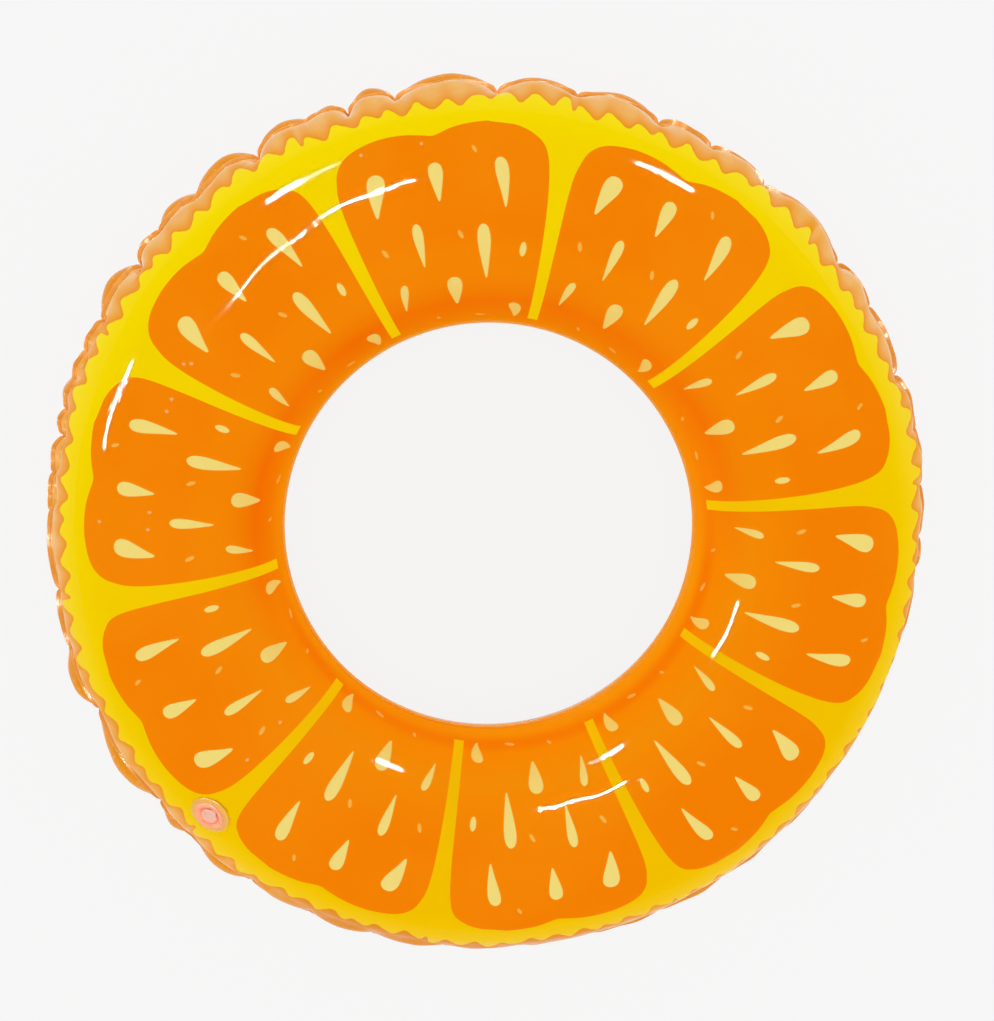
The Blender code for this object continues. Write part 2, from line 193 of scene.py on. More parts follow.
PEEL_EDGE = (
    (0, 225), (0.7, 236), (1.6, 229), (2.4, 220), (3.3, 225), (4.7, 234), (5.7, 226),
    (6.6, 220), (7.4, 228), (8.5, 238), (9.4, 233), (10.4, 223), (11.4, 229), (12.6, 228.5),
    (13.4, 223), (14.4, 216), (15.4, 222), (16, 226), (17.0, 219), (18, 215), (19.2, 221),
    (20, 227), (20.9, 219), (22, 213), (23.2, 221), (24, 225), (25, 217.5), (26.1, 222),
    (27, 224.5), (28.2, 214.5), (29.8, 221), (31.1, 226.5), (31.8, 219), (32.5, 213),
    (33.8, 220), (35, 226), (35.6, 218), (36, 225),
)
# Drops as (tip, round end, half width in millimetres, bend to one side in millimetres)
DROPS = (
    ((8.3, 133), (9.4, 169.5), 5.8, 0.9),
    ((19.1, 140), (19.0, 168.5), 6.2, 0.0),
    ((29.6, 138.5), (27.6, 169), 7.6, -1.0),
    ((11.8, 78), (12.2, 121.5), 5.8, 0.0),
    ((24.1, 94), (23.8, 127.5), 4.5, 0.0),
    ((18.8, 53), (18.7, 81.5), 6.8, 0.0),
    ((30.8, 59), (29.2, 84.5), 3.6, -0.6),
    ((4.75, 30), (5.5, 52.5), 5.2, 2.0),
)
# Pips and flecks are rounded at both ends
PIPS = (((4.8, 97.5), (4.7, 109), 2.9, 0.0),)
FLECKS = (
    ((12.7, 173), (13.3, 179), 1.5, 0.0),
    ((15.9, 111.5), (16.7, 118), 1.7, 0.0),
    ((30.1, 109.5), (30.8, 116.5), 1.8, 0.0),
    ((12.2, 30.5), (14.8, 33.5), 1.8, 0.0),
    ((23.6, 34.5), (24.4, 39.5), 1.4, 0.0),
)
# Single specks of ink, as places on the flat sheet
SPECKS = (
    (-261, 168), (-267, 158), (-298, 73), (-302, 58), (-339, 69), (-245, 196), (-239, 196),
    (-66, 346), (-14, 349), (-224, -138), (-253, -162), (-147, -192),
)
SPECK_R = 1.4
# Half the width over which one ink gives way to the next, in millimetres
PITH_BLUR = 0.35
PEEL_BLUR = 0.4
DROP_BLUR = 0.3
SPECK_BLUR = 0.5
# The flat map of a film is this wide
MAP_SPAN_MM = 900
# Places on the flat sheet where the film is crinkled, and how far each reaches
CREASES = (
    (-38, 325, 34), (-112, 300, 13), (189, 304, 22), (23, -258, 30), (-307, 175, 26),
)
# The camera, fitted to the photograph: the print's right is the photograph's right
CAMERA_TILT_DEG = 9.16
CAMERA_AZIMUTH_DEG = 100.9
CAMERA_DISTANCE = 1.30
FOCAL_PX = 1629
SHIFT_PX = (7.9, 17.2)
PHOTO_PX = 1021
SENSOR_MM = 36
# Strength of the sky, and how much of the floor is plain white for the rays that show it
SKY = 0.12
FLOOR_GLOW = 0.93
# A bent strip lamp that is seen in the film as the long arc: places to the photograph's right and
# up. Its near half is aimed aside and spreads little, so that only one side of the ring shows it.
STRIP = ((-0.26, 1.33), (-0.65, 1.05), (-0.75, 0.33))
STRIP_ASIDE = (-0.60, 0.62)
STRIP_HEIGHT = 2.35
STRIP_SPREAD_DEG = 47.0
WINDOW_RISE_DEG = 26
WINDOW_DISTANCE = 3.5
# Windows, seen in the film as short bars: degrees around, width, height and radiance
WINDOWS = (
    (60, 0.55, 0.26, 700.0), (168, 0.83, 0.18, 700.0), (123.5, 0.34, 0.30, 700.0),
    (118, 0.40, 0.14, 190.0),
)
# Sides where light and shade are painted into the print's colours: the pulp lighter where light
# comes through the hole's wall, the yellow paler towards the lamps and the margin golden away from
# them
LIT_THROUGH_DEG = -85.0
LAMP_SIDE_DEG = 97.0
SHADED_SIDE_DEG = -105.0
# Side of the hole's wall through which least light comes
LIT_LESS_DEG = 84.9
# The margin's colours change over this width
MARGIN_MM = 50
# The edge of the peel sits further out on one side, in millimetres
PEEL_SHIFT = 2.6
PEEL_SHIFT_DEG = 178


def srgb(red, green, blue):
    """A colour written as the eye sees it, 0 to 255, as the linear one that a shader takes."""
    def straight(value):
        value /= 255
        return value / 12.92 if value <= 0.04045 else ((value + 0.055) / 1.055) ** 2.4
    return (straight(red), straight(green), straight(blue), 1.0)


# Shape of the ring

def eased(share):
    share = np.clip(share, 0.0, 1.0)
    return share * share * (3 - 2 * share)


def lobe_edges():
    """Angles of the puckers, and the first one again a turn later."""
    starts = np.radians(np.array(PUCKERS)[:, 0] + PRINT_TURN_DEG)
    return np.append(starts, starts[0] + 2 * math.pi)


def lobes(around):
    """For places around the ring: how far along its lobe each is, 0 to 1, the depth of the
    puckers at its ends, and the swell of the upper and the lower film, in metres."""
    table = np.array(PUCKERS)
    edges = lobe_edges()
    place = (around - edges[0]) % (2 * math.pi) + edges[0]
    number = np.clip(np.searchsorted(edges, place, side="right") - 1, 0, len(table) - 1)
    along = (place - edges[number]) / (edges[number + 1] - edges[number])
    depths = table[:, 1] / 1000
    after = depths[(number + 1) % len(table)]
    depth = depths[number] + (after - depths[number]) * eased(along)
    return along, depth, table[number, 2] / 1000, table[number, 3] / 1000


def weld_rise(around):
    """How far up the section the outer weld lies: higher at the valve, twisted, and with nine
    waves of uneven length."""
    sway = WELD_SWAY_DEG * np.cos(around - VALVE_AROUND)
    twist = WELD_TWIST_DEG * np.cos(2 * (around - TWIST_AROUND))
    wave = WELD_WAVE_DEG * np.sin(9 * around + 2.2 * np.sin(4 * around))
    return np.radians(WELD_RISE_DEG + sway + twist + wave)


def fading(angle, reach):
    """1 at the outer weld, 0 from this angle on."""
    return eased(1 - np.abs(angle) / reach)


def pucker_pull(angle, depth, crown):
    """How far in the puckers draw the film: most at the weld, sharp at a pucker and round in the
    middle of a lobe, where crown is 1."""
    reach = np.radians(PUCKER_REACH_DEG + PUCKER_REACH_PER_MM * 1000 * depth)
    power = 0.42 + 0.9 * np.minimum(1.0, np.abs(angle) / reach)
    return fading(angle, reach) * depth * (1 - np.maximum(crown, 1e-4) ** power)


def side_pull(angle, around):
    apart = (around - DRAW_AROUND + math.pi) % (2 * math.pi) - math.pi
    return DRAW_IN * fading(apart, DRAW_SPREAD) * fading(angle, LOBE_REACH)


def lobe_swell(angle, around, along, upper, lower):
    """How far out the lobes swell. Those of the lower film lean, most on one side of the ring."""
    crown = np.sin(math.pi * along)
    lean = 1.12 + 0.28 * np.sin(around - math.radians(160 + PRINT_TURN_DEG))
    leaning = np.sin(math.pi * along ** lean)
    swell = np.where(angle >= 0, upper * crown ** 0.8, lower * leaning ** 0.7)
    share = np.minimum(1.0, np.abs(angle) / LOBE_REACH)
    return swell * SWELL_PEAK * share * (1 - share) ** 2


def gathered(around, across, height):
    """Where points of the smooth ring go when the outer weld gathers, and their new angle on the
    section. across and height are shares of the oval's half width and half height."""
    along, depth, upper, lower = lobes(around)
    crown = np.sin(math.pi * along)
    angle = np.arctan2(height, across)
    tilt = np.radians(LOBE_TILT_DEG) * np.sin(2 * math.pi * along + 9 * around) * crown
    slid = angle + fading(angle, RISE_REACH) * (weld_rise(around) + tilt)
    size = np.hypot(across, height)
    ripple = np.sin(61 * around + 3 * np.sin(7 * around)) * np.sin(23 * around + 1.3)
    radius = MID_R + HALF_W * size * np.cos(slid)
    radius = radius - pucker_pull(angle, depth, crown) - side_pull(angle, around)
    radius = radius + lobe_swell(angle, around, along, upper, lower)
    radius = radius + RIPPLE * ripple * fading(angle, RIPPLE_REACH) * crown
    z = MID_Z + HALF_H * size * np.sin(slid)
    return np.stack([radius * np.cos(around), radius * np.sin(around), z], axis=-1), slid


def slack(place, slid, around):
    """Small unevenness of a blown-up film, strongest on the shoulders and gone at the welds."""
    amount = SLACK * np.sin(slid) ** 2
    wave = np.sin(17 * around + 5 * slid + 2 * np.sin(5 * around)) + 0.7 * np.sin(
        31 * around - 9 * slid + 1.7 * np.sin(3 * around)
    )
    radius = np.hypot(place[..., 0], place[..., 1])
    normal = np.stack([
        (radius - MID_R) / HALF_W ** 2 * np.cos(around),
        (radius - MID_R) / HALF_W ** 2 * np.sin(around),
        (place[..., 2] - MID_Z) / HALF_H ** 2,
    ], axis=-1)
    normal /= np.linalg.norm(normal, axis=-1, keepdims=True)
    return place + normal * (amount * wave)[..., None]


# Length of film from the hole's weld to each angle of the oval, in millimetres
TABLE_ANGLES = np.linspace(0, math.pi, 721)
SPEED = np.hypot(HALF_W * np.sin(TABLE_ANGLES), HALF_H * np.cos(TABLE_ANGLES))
STEP = (SPEED[1:] + SPEED[:-1]) / 2 * (TABLE_ANGLES[1] - TABLE_ANGLES[0])
FILM_MM = 1000 * (STEP.sum() - np.append(0, np.cumsum(STEP)))


def waves(angle, parts):
    return sum(size * np.cos(times * angle - phase) for times, size, phase in parts)


def print_place(around, slid):
    """Place on the flat print, in millimetres, turned so that a divider lies along +X."""
    radius = FLAT_HOLE_MM + np.interp(np.abs(slid), TABLE_ANGLES, FILM_MM)
    turned = around - math.radians(PRINT_TURN_DEG)
    x = radius * np.cos(turned) - PRINT_OFFSET_MM[0]
    y = radius * np.sin(turned) - PRINT_OFFSET_MM[1]
    angle = np.arctan2(y, x)
    size = np.hypot(x, y) + STRETCH_OUT_MM + waves(angle, STRETCH_OUT_WAVES)
    angle = angle + np.radians(waves(angle, STRETCH_AROUND_WAVES) - FIRST_DIVIDER_DEG)
    return np.stack([size * np.cos(angle), size * np.sin(angle), 0 * size], axis=-1)


def valve_matrix():
    """From valve coordinates to the ring's: the origin on the film, local Z out of it. The valve
    stands on the chord between two columns of the solids."""
    half = (COLLAR_R + SEAT_GAP) / math.hypot(
        HALF_W * math.sin(VALVE_ANGLE), HALF_H * math.cos(VALVE_ANGLE)
    )
    chord = math.cos(math.pi / SOLID_COLUMNS)
    low, high = (
        Vector(((MID_R + HALF_W * math.cos(a)) * chord, 0, MID_Z + HALF_H * math.sin(a)))
        for a in (VALVE_ANGLE - half, VALVE_ANGLE + half)
    )
    lean = math.atan2(high.z - low.z, low.x - high.x)
    return (
        Matrix.Rotation(VALVE_AROUND, 4, "Z")
        @ Matrix.Translation((low + high) / 2)
        @ Matrix.Rotation(math.radians(90), 4, "Z")
        @ Matrix.Rotation(lean, 4, "X")
    )


VALVE = valve_matrix()
VALVE_NP = np.array(VALVE)
VALVE_BACK = np.array(VALVE.inverted())


def flattened(height, away):
    """Height above the valve's plane of a film that the valve's disc holds flat round its mouth."""
    return height * eased((away - FLAT_R) / FLAT_FADE)


def oval_miss(x, y, z):
    """0 for valve coordinates on the oval, more outside it."""
    place = np.stack([x, y, z, np.ones_like(x)], axis=-1) @ VALVE_NP.T
    radius = np.hypot(place[..., 0], place[..., 1])
    return ((radius - MID_R) / HALF_W) ** 2 + ((place[..., 2] - MID_Z) / HALF_H) ** 2 - 1


def film_fall(x, y):
    """Height of the held film over the valve's plane at places on that plane, found with
    Newton's method."""
    z = np.zeros_like(x)
    tiny = 1e-6
    for _ in range(8):
        miss = oval_miss(x, y, z)
        z = z - miss * tiny / (oval_miss(x, y, z + tiny) - miss)
    return flattened(z, np.hypot(x, y))


# Mesh helpers

def linked(name, data):
    obj = bpy.data.objects.new(name, data)
    bpy.context.scene.collection.objects.link(obj)
    return obj


def mesh_object(name, points, faces):
    mesh = bpy.data.meshes.new(name)
    mesh.from_pydata(np.asarray(points).reshape(-1, 3).tolist(), [], faces)
    mesh.update()
    mesh.shade_smooth()
    return linked(name, mesh)


def applied(obj):
    """Turns the object's modifiers into its mesh."""
    graph = bpy.context.evaluated_depsgraph_get()
    mesh = bpy.data.meshes.new_from_object(obj.evaluated_get(graph))
    mesh.name = obj.name
    obj.modifiers.clear()
    obj.data = mesh
    return obj


def thickened(obj, thickness, offset=0):
    """Gives a sheet its thickness: on both sides, or inwards only where offset is -1."""
    shell = obj.modifiers.new("Thickness", "SOLIDIFY")
    shell.thickness = thickness
    shell.offset = offset
    return applied(obj)


def grid_faces(rows, columns, wrap_columns=True, wrap_rows=False):
    """Quads over a grid of rows x columns points, counted row by row."""
    faces = []
    for i in range(rows - 1 + wrap_rows):
        here, after = i * columns, (i + 1) % rows * columns
        for j in range(columns - 1 + wrap_columns):
            k = (j + 1) % columns
            faces.append((here + j, here + k, after + k, after + j))
    return faces


def lathe(name, profile, steps, closed=True):
    """A profile of (radius, height) turned about Z, listed from the top down on the outside."""
    turns = np.arange(steps) * 2 * math.pi / steps
    points, rings = [], []
    for radius, height in profile:
        if radius < 1e-9:
            rings.append([len(points)] * steps)
            points.append((0, 0, height))
        else:
            rings.append(list(range(len(points), len(points) + steps)))
            points.extend((radius * math.cos(t), radius * math.sin(t), height) for t in turns)
    faces = []
    count = len(rings)
    for i in range(count - 1 + closed):
        upper, lower = rings[i], rings[(i + 1) % count]
        for j in range(steps):
            k = (j + 1) % steps
            face = list(dict.fromkeys((upper[k], upper[j], lower[j], lower[k])))
            if len(face) > 2:
                faces.append(face)
    return mesh_object(name, points, faces)


def arc(x, y, radius, start_deg, end_deg, count):
    """Points from one angle to the other about (x, y)."""
    angles = np.radians(np.linspace(start_deg, end_deg, count + 1))
    return [(x + radius * math.cos(a), y + radius * math.sin(a)) for a in angles]


def united(obj, other):
    step = obj.modifiers.new("Join", "BOOLEAN")
    step.operation = "UNION"
    step.solver = "EXACT"
    step.object = other
    applied(obj)
    bpy.data.objects.remove(other, do_unlink=True)
    return obj


def rounded_disc(radius, low, high, edge):
    """Profile of a disc with round edges."""
    upper = arc(radius - edge, high - edge, edge, 90, 0, 3)
    lower = arc(radius - edge, low + edge, edge, 0, -90, 3)
    return [(0, high)] + upper + lower + [(0, low)]


def sharpened(obj, degrees=40):
    """Smooth shading with hard edges past this angle."""
    obj.data.shade_smooth()
    obj.data.set_sharp_from_angle(angle=math.radians(degrees))
    return obj


# The films and their welds

def column_places():
    """Angles of the mesh's columns, closer together at the puckers."""
    edges = lobe_edges()
    u = np.arange(COLUMNS_PER_LOBE) / COLUMNS_PER_LOBE
    u = 0.5 * u + 0.5 * (1 - np.cos(math.pi * u)) / 2
    return np.concatenate([a + (b - a) * u for a, b in zip(edges, edges[1:])])


def held_flat(local):
    """Lays points in valve coordinates flat round the valve's mouth. Returns which of them the
    film's hole takes away."""
    away = np.hypot(local[..., 0], local[..., 1])
    held = (away < FLAT_R + FLAT_FADE) & (np.abs(local[..., 2]) < NEAR_VALVE)
    local[..., 2] = np.where(held, flattened(local[..., 2], away), local[..., 2])
    return (held & (away < FILM_HOLE_R)).ravel()


def punched(faces, local, gone):
    """The faces that the hole leaves. The points round it are drawn onto its edge."""
    cut = [face for face in faces if any(gone[v] for v in face)]
    if cut:
        edge = np.array(sorted({v for face in cut for v in face if not gone[v]}))
        points = local.reshape(-1, 4)
        points[edge, :2] *= FILM_HOLE_R / np.hypot(points[edge, :1], points[edge, 1:2])
        points[edge, 2] = 0
    return [face for face in faces if not any(gone[v] for v in face)]


def without_loose_points(mesh):
    shape = bmesh.new()
    shape.from_mesh(mesh)
    bmesh.ops.delete(shape, geom=[v for v in shape.verts if not v.link_faces], context="VERTS")
    shape.to_mesh(mesh)
    shape.free()


def film(name, side):
    """One film with its thickness. side is 1 for the upper film, -1 for the lower."""
    a, t = np.meshgrid(column_places(), film_rows())
    place, slid = gathered(a, np.cos(t), side * np.sin(t))
    place = slack(place, slid, a)
    place[..., 2] = np.maximum(place[..., 2], 0.0)
    local = np.concatenate([place, np.ones(place.shape[:-1] + (1,))], axis=-1) @ VALVE_BACK.T
    gone = held_flat(local)
    faces = grid_faces(*a.shape)
    if side < 0:
        faces = [face[::-1] for face in faces]
    faces = punched(faces, local, gone)
    obj = mesh_object(name, (local.reshape(-1, 4) @ VALVE_NP.T)[:, :3], faces)
    keep_places(obj.data, "print_place", print_place(a, slid))
    without_loose_points(obj.data)
    outside = len(obj.data.polygons)
    film_map(thickened(obj, FILM_T, -1), outside)
    return obj


def read(items, name, kind=np.float32, width=1):
    values = np.zeros(len(items) * width, kind)
    items.foreach_get(name, values)
    return values.reshape(-1, width) if width > 1 else values


def keep_places(mesh, name, places):
    """Stores a place for every point, for the materials."""
    places = np.asarray(places, np.float32).reshape(-1)
    mesh.attributes.new(name, "FLOAT_VECTOR", "POINT").data.foreach_set("vector", places)


def film_map(obj, outside):
    """A flat map of the film as it was cut. Its inner side and rims get a corner of their own."""
    mesh = obj.data
    spots = read(mesh.attributes["print_place"].data, "vector", width=3)
    place = (spots[:, :2] / MAP_SPAN_MM + 0.5)[read(mesh.loops, "vertex_index", np.int32)]
    sizes = read(mesh.polygons, "loop_total", np.int32)
    hidden = np.repeat(np.arange(len(sizes)), sizes) >= outside
    place[hidden] = 0.01 + place[hidden] * 0.1
    layer = mesh.uv_layers.new(name="OFBake")
    layer.data.foreach_set("uv", place.reshape(-1).astype(np.float32))


def film_rows():
    """Section angles from the outer weld to the hole's, close together in the puckers."""
    near = np.append(RIM_ANGLE, np.radians(NEAR_ROWS_DEG))
    far = np.linspace(math.radians(FAR_START_DEG), math.pi - RIM_ANGLE, FAR_ROWS)
    return np.concatenate([near, far])


def weld_ring(name, profile, around, gather):
    """A fused rim: a closed profile of (radius, height above the mid plane)."""
    radii, heights = zip(*profile)
    a, radius = np.meshgrid(around, radii)
    _, height = np.meshgrid(around, heights)
    if gather:
        place, _ = gathered(a, (radius - MID_R) / HALF_W, height / HALF_H)
    else:
        place = np.stack([radius * np.cos(a), radius * np.sin(a), MID_Z + height], axis=-1)
    return mesh_object(name, place, grid_faces(len(profile), len(around), True, True))


def rim_profile(inner, outer, thickness):
    """Flat bar from inner to outer with a round free edge, inner corners square."""
    half = thickness / 2
    return [(inner, half)] + arc(outer - half, 0, half, 90, -90, 6) + [(inner, -half)]


# Materials

class Tree:
    """A material's nodes, written as short calls. Inputs are sockets or plain values."""

    def __init__(self, name):
        self.material = bpy.data.materials.new(name)
        self.material.use_nodes = True
        self.nodes = self.material.node_tree.nodes
        self.links = self.material.node_tree.links
        self.shader = self.nodes["Principled BSDF"]

    def node(self, kind, inputs=(), **settings):
        made = self.nodes.new(kind)
        for key, value in settings.items():
            setattr(made, key, value)
        for index, value in dict(inputs).items():
            self.put(made.inputs[index], value)
        return made

    def put(self, socket, value):
        if isinstance(value, bpy.types.NodeSocket):
            self.links.new(value, socket)
        elif value is not None:
            socket.default_value = value

    def math(self, operation, a, b=None, c=None):
        inputs = {0: a, 1: b, 2: c}
        return self.node("ShaderNodeMath", inputs, operation=operation).outputs[0]

    def times(self, a, b):
        return self.math("MULTIPLY", a, b)

    def minus(self, a, b):
        return self.math("SUBTRACT", a, b)

    def vector(self, operation, a, b=None, out=0):
        made = self.node("ShaderNodeVectorMath", {0: a, 1: b}, operation=operation)
        return made.outputs[out]

    def side(self, place, degrees, *change):
        """A step over the cosine of the angle between the place and this direction: 1 is the
        ring's side that lies that way, -1 the far side."""
        along = (math.cos(math.radians(degrees)), math.sin(math.radians(degrees)), 0.0)
        outward = self.vector("NORMALIZE", self.level(place))
        return self.step(self.vector("DOT_PRODUCT", outward, along, out=1), *change)

    def step(self, value, low, high, to_low=0.0, to_high=1.0):
        """Smooth change from to_low to to_high as value goes from low to high."""
        inputs = {0: value, 1: low, 2: high, 3: to_low, 4: to_high}
        return self.node("ShaderNodeMapRange", inputs, interpolation_type="SMOOTHSTEP").outputs[0]

    def mix(self, share, a, b, blend="MIX"):
        inputs = {0: share, 6: a, 7: b}
        made = self.node("ShaderNodeMix", inputs, data_type="RGBA", blend_type=blend)
        return made.outputs[2]

    def over_all(self, operation, values):
        """The ADD, the MAXIMUM or the MINIMUM of several values."""
        return functools.reduce(lambda a, b: self.math(operation, a, b), values)

    def level(self, place):
        """The place with no height."""
        return self.vector("MULTIPLY", place, (1.0, 1.0, 0.0))

    def own_place(self, name=None):
        """The place on the object, or the one that its points keep under this name."""
        if name is None:
            return self.node("ShaderNodeTexCoord").outputs["Object"]
        return self.node("ShaderNodeAttribute", attribute_name=name).outputs[1]

    def noise(self, place, scale, detail=3.0, roughness=0.5):
        inputs = {"Vector": place, "Scale": scale, "Detail": detail, "Roughness": roughness}
        return self.node("ShaderNodeTexNoise", inputs).outputs[0]

    def ramp(self, value, stops):
        """Colours by value. A stop is (value, red, green, blue) with colours from 0 to 255."""
        made = self.node("ShaderNodeValToRGB", {0: value})
        points = made.color_ramp.elements
        while len(points) < len(stops):
            points.new(0.5)
        for point, (place, *colour) in zip(points, stops):
            point.position = place
            point.color = srgb(*colour)
        return made.outputs[0]

    def curve(self, x, points, x_span=1.0, y_span=1.0):
        """The y at x of a curve through (x, y) points from 0 to the spans."""
        made = self.node("ShaderNodeFloatCurve", {1: self.times(x, 1 / x_span)})
        line = made.mapping.curves[0]
        while len(line.points) < len(points):
            line.points.new(0.5, 0.5)
        for point, (across, up) in zip(line.points, points):
            point.location = (across / x_span, up / y_span)
        made.mapping.update()
        return self.times(made.outputs[0], y_span)

    def bump(self, height, distance, strength, under=None):
        inputs = {"Height": height, "Distance": distance, "Strength": strength, "Normal": under}
        return self.node("ShaderNodeBump", inputs).outputs[0]

    def finish(self, colour, rough, normal, shine, **values):
        """Sets the shader's inputs. Further ones are named, with _ for each space."""
        values.update(Base_Color=colour, Roughness=rough, Normal=normal, Specular_IOR_Level=shine)
        for name, value in values.items():
            self.put(self.shader.inputs[name.replace("_", " ")], value)
        return self.material


def film_gloss(tree, place, flat=None):
    """Roughness and normal of blown-up glossy PVC: soft dents and fine crinkles, which on the
    printed film are strong at the creases, where they tear a highlight's edges."""
    dents = tree.noise(place, 14.0, detail=2.0)
    crinkle = tree.noise(place, 150.0, detail=1.5)
    fine = tree.noise(place, 420.0, detail=2.0)
    normal = tree.bump(dents, distance=0.0016, strength=0.10)
    strength = 0.12
    if flat is not None:
        strength = tree.math("MULTIPLY_ADD", crease_mask(tree, flat), 0.4, 0.01)
        ripple = tree.noise(tree.level(flat), 0.32, detail=0.0)
        normal = tree.bump(ripple, 0.0002, strength, normal)
    normal = tree.bump(crinkle, 0.0003, strength, normal)
    normal = tree.bump(fine, 0.00002, 0.2, normal)
    rough = tree.step(tree.noise(place, 30.0), 0.3, 0.7, 0.025, 0.05)
    return rough, normal


def distance_to(tree, flat, x, y):
    return tree.vector("DISTANCE", flat, (x, y, 0.0), out=1)


def crease_mask(tree, flat):
    return tree.over_all("MAXIMUM", (
        tree.step(distance_to(tree, flat, x, y), reach, reach * 0.4) for x, y, reach in CREASES
    ))


def folded(tree, flat):
    """The place on one segment: angle in degrees, millimetres from the hole, millimetres from the
    middle of the ring, and a flat place with the segment's middle line along Y."""
    parts = tree.node("ShaderNodeSeparateXYZ", {0: flat})
    x, y = parts.outputs[0], parts.outputs[1]
    angle = tree.times(tree.math("ARCTAN2", y, x), 180 / math.pi)
    angle = tree.math("FLOORED_MODULO", angle, SEGMENT_DEG)
    size = tree.vector("LENGTH", flat, out=1)
    inward = tree.minus(size, FLAT_HOLE_MM)
    lean = tree.math("MULTIPLY_ADD", angle, math.pi / 180, -math.radians(SEGMENT_DEG / 2))
    across = tree.times(size, tree.math("SINE", lean))
    out = tree.times(size, tree.math("COSINE", lean))
    place = tree.node("ShaderNodeCombineXYZ", {0: across, 1: out}).outputs[0]
    return angle, inward, size, place


def on_segment(angle_deg, inward_mm):
    lean = math.radians(angle_deg - SEGMENT_DEG / 2)
    size = FLAT_HOLE_MM + inward_mm
    return Vector((size * math.sin(lean), size * math.cos(lean), 0))


# Half width of a drop and of a pip along its length, both as shares
DROP_OUTLINE = (
    (0, 0), (0.03, 0.16), (0.2, 0.42), (0.4, 0.69), (0.6, 0.92), (0.73, 1.0), (0.86, 0.92),
    (0.95, 0.64), (0.985, 0.36), (1, 0),
)
LENS_OUTLINE = (
    (0, 0), (0.03, 0.34), (0.12, 0.65), (0.3, 0.93), (0.5, 1.0), (0.7, 0.93), (0.88, 0.65),
    (0.97, 0.34), (1, 0),
)


def drop(tree, place, outline, tip, end, half_width, bend):
    """Signed distance in millimetres, above 0 inside a drop from its tip to its round end."""
    start, stop = on_segment(*tip), on_segment(*end)
    axis = stop - start
    side = Vector((-axis.y, axis.x, 0)).normalized()
    local = tree.vector("SUBTRACT", place, tuple(start))
    along = tree.vector("DOT_PRODUCT", local, tuple(axis / axis.length_squared), out=1)
    off = tree.vector("DOT_PRODUCT", local, tuple(side), out=1)
    if bend:
        sway = tree.times(along, tree.minus(1.0, along))
        off = tree.math("MULTIPLY_ADD", sway, -4 * bend, off)
    width = tree.curve(along, outline)
    # The ends are cut back a little, so that no ink shows beyond them
    width = tree.math("MULTIPLY_ADD", width, half_width + 0.2, -0.2)
    return tree.minus(width, tree.math("ABSOLUTE", off))


def drop_mask(tree, place, outline, drops):
    inside = tree.over_all("MAXIMUM", (drop(tree, place, outline, *shape) for shape in drops))
    return tree.step(inside, -DROP_BLUR, DROP_BLUR)


def speck_mask(tree, flat):
    nearest = tree.over_all("MINIMUM", (distance_to(tree, flat, x, y) for x, y in SPECKS))
    return tree.step(nearest, SPECK_R + SPECK_BLUR, SPECK_R - SPECK_BLUR)


def segment_mask(tree, angle, inward, size):
    """1 on the pulp of a segment, from the distances in millimetres to its sides and its top."""
    left = tree.curve(inward, LEFT_SIDE, SPAN_MM, SEGMENT_DEG)
    right = tree.curve(inward, RIGHT_SIDE, SPAN_MM, SEGMENT_DEG)
    top = tree.curve(angle, SEGMENT_TOP, SEGMENT_DEG, SPAN_MM)
    sides = tree.math("MINIMUM", tree.minus(angle, left), tree.minus(right, angle))
    sides = tree.times(sides, tree.times(size, math.pi / 180))
    nearest = tree.math("MINIMUM", sides, tree.minus(top, inward))
    return tree.step(nearest, -PITH_BLUR, PITH_BLUR)


def beyond_peel(tree, flat, angle, inward):
    """Millimetres outwards from the peel's scalloped edge."""
    peel = tree.curve(angle, PEEL_EDGE, SEGMENT_DEG, SPAN_MM)
    shift = tree.side(flat, PEEL_SHIFT_DEG, 0.4, 0.9, 0.0, PEEL_SHIFT)
    return tree.minus(tree.minus(inward, peel), shift)


def pulp_colour(tree, flat, place, reach):
    """Orange with painted light and shade on the wall of the hole: a lighter line at its edge, a
    darker band behind it, and less of that shade on the side where light comes through the film.
    """
    # The first stops paint light along the hole's edge; the darker band after them is painted shade
    # on the hole's wall.
    rim = [(0.0, 255, 190, 70), (0.014, 255, 172, 20), (0.07, 252, 156, 6)]
    plain = tree.ramp(reach, rim + [
        (0.13, 248, 136, 3), (0.16, 249, 128, 2), (0.20, 250, 118, 1), (0.24, 250, 132, 1),
        (0.28, 251, 138, 1), (0.36, 251, 137, 1), (0.42, 250, 130, 1), (0.7, 250, 133, 1),
    ])
    # On the side where light comes through the film, the band of painted shade is narrower and
    # lighter.
    lit_through = tree.ramp(reach, rim + [
        (0.105, 248, 131, 3), (0.125, 249, 132, 2), (0.15, 251, 146, 3), (0.26, 251, 149, 5),
        (0.31, 251, 142, 3), (0.38, 250, 136, 2), (0.45, 250, 130, 1),
    ])
    pulp = tree.mix(tree.side(flat, LIT_THROUGH_DEG, -0.3, 0.5), plain, lit_through)
    cloud = tree.step(tree.noise(place, 9.0), 0.35, 0.65, 0.0, 0.35)
    return tree.mix(cloud, pulp, srgb(252, 146, 12))


def pith_colour(tree, flat, reach):
    pith = tree.ramp(reach, [
        (0.1, 252, 214, 8), (0.3, 250, 206, 3), (0.65, 251, 208, 0), (0.8, 253, 218, 0),
    ])
    # Painted light and shade: the yellow paler on the side towards the lamps and more orange on the
    # far side.
    pale = tree.side(flat, LAMP_SIDE_DEG, -1.0, 1.0)
    tint = tree.mix(pale, (0.98, 0.87, 1.0, 1.0), (1.0, 1.09, 1.0, 1.0))
    return tree.mix(1.0, pith, tint, "MULTIPLY")


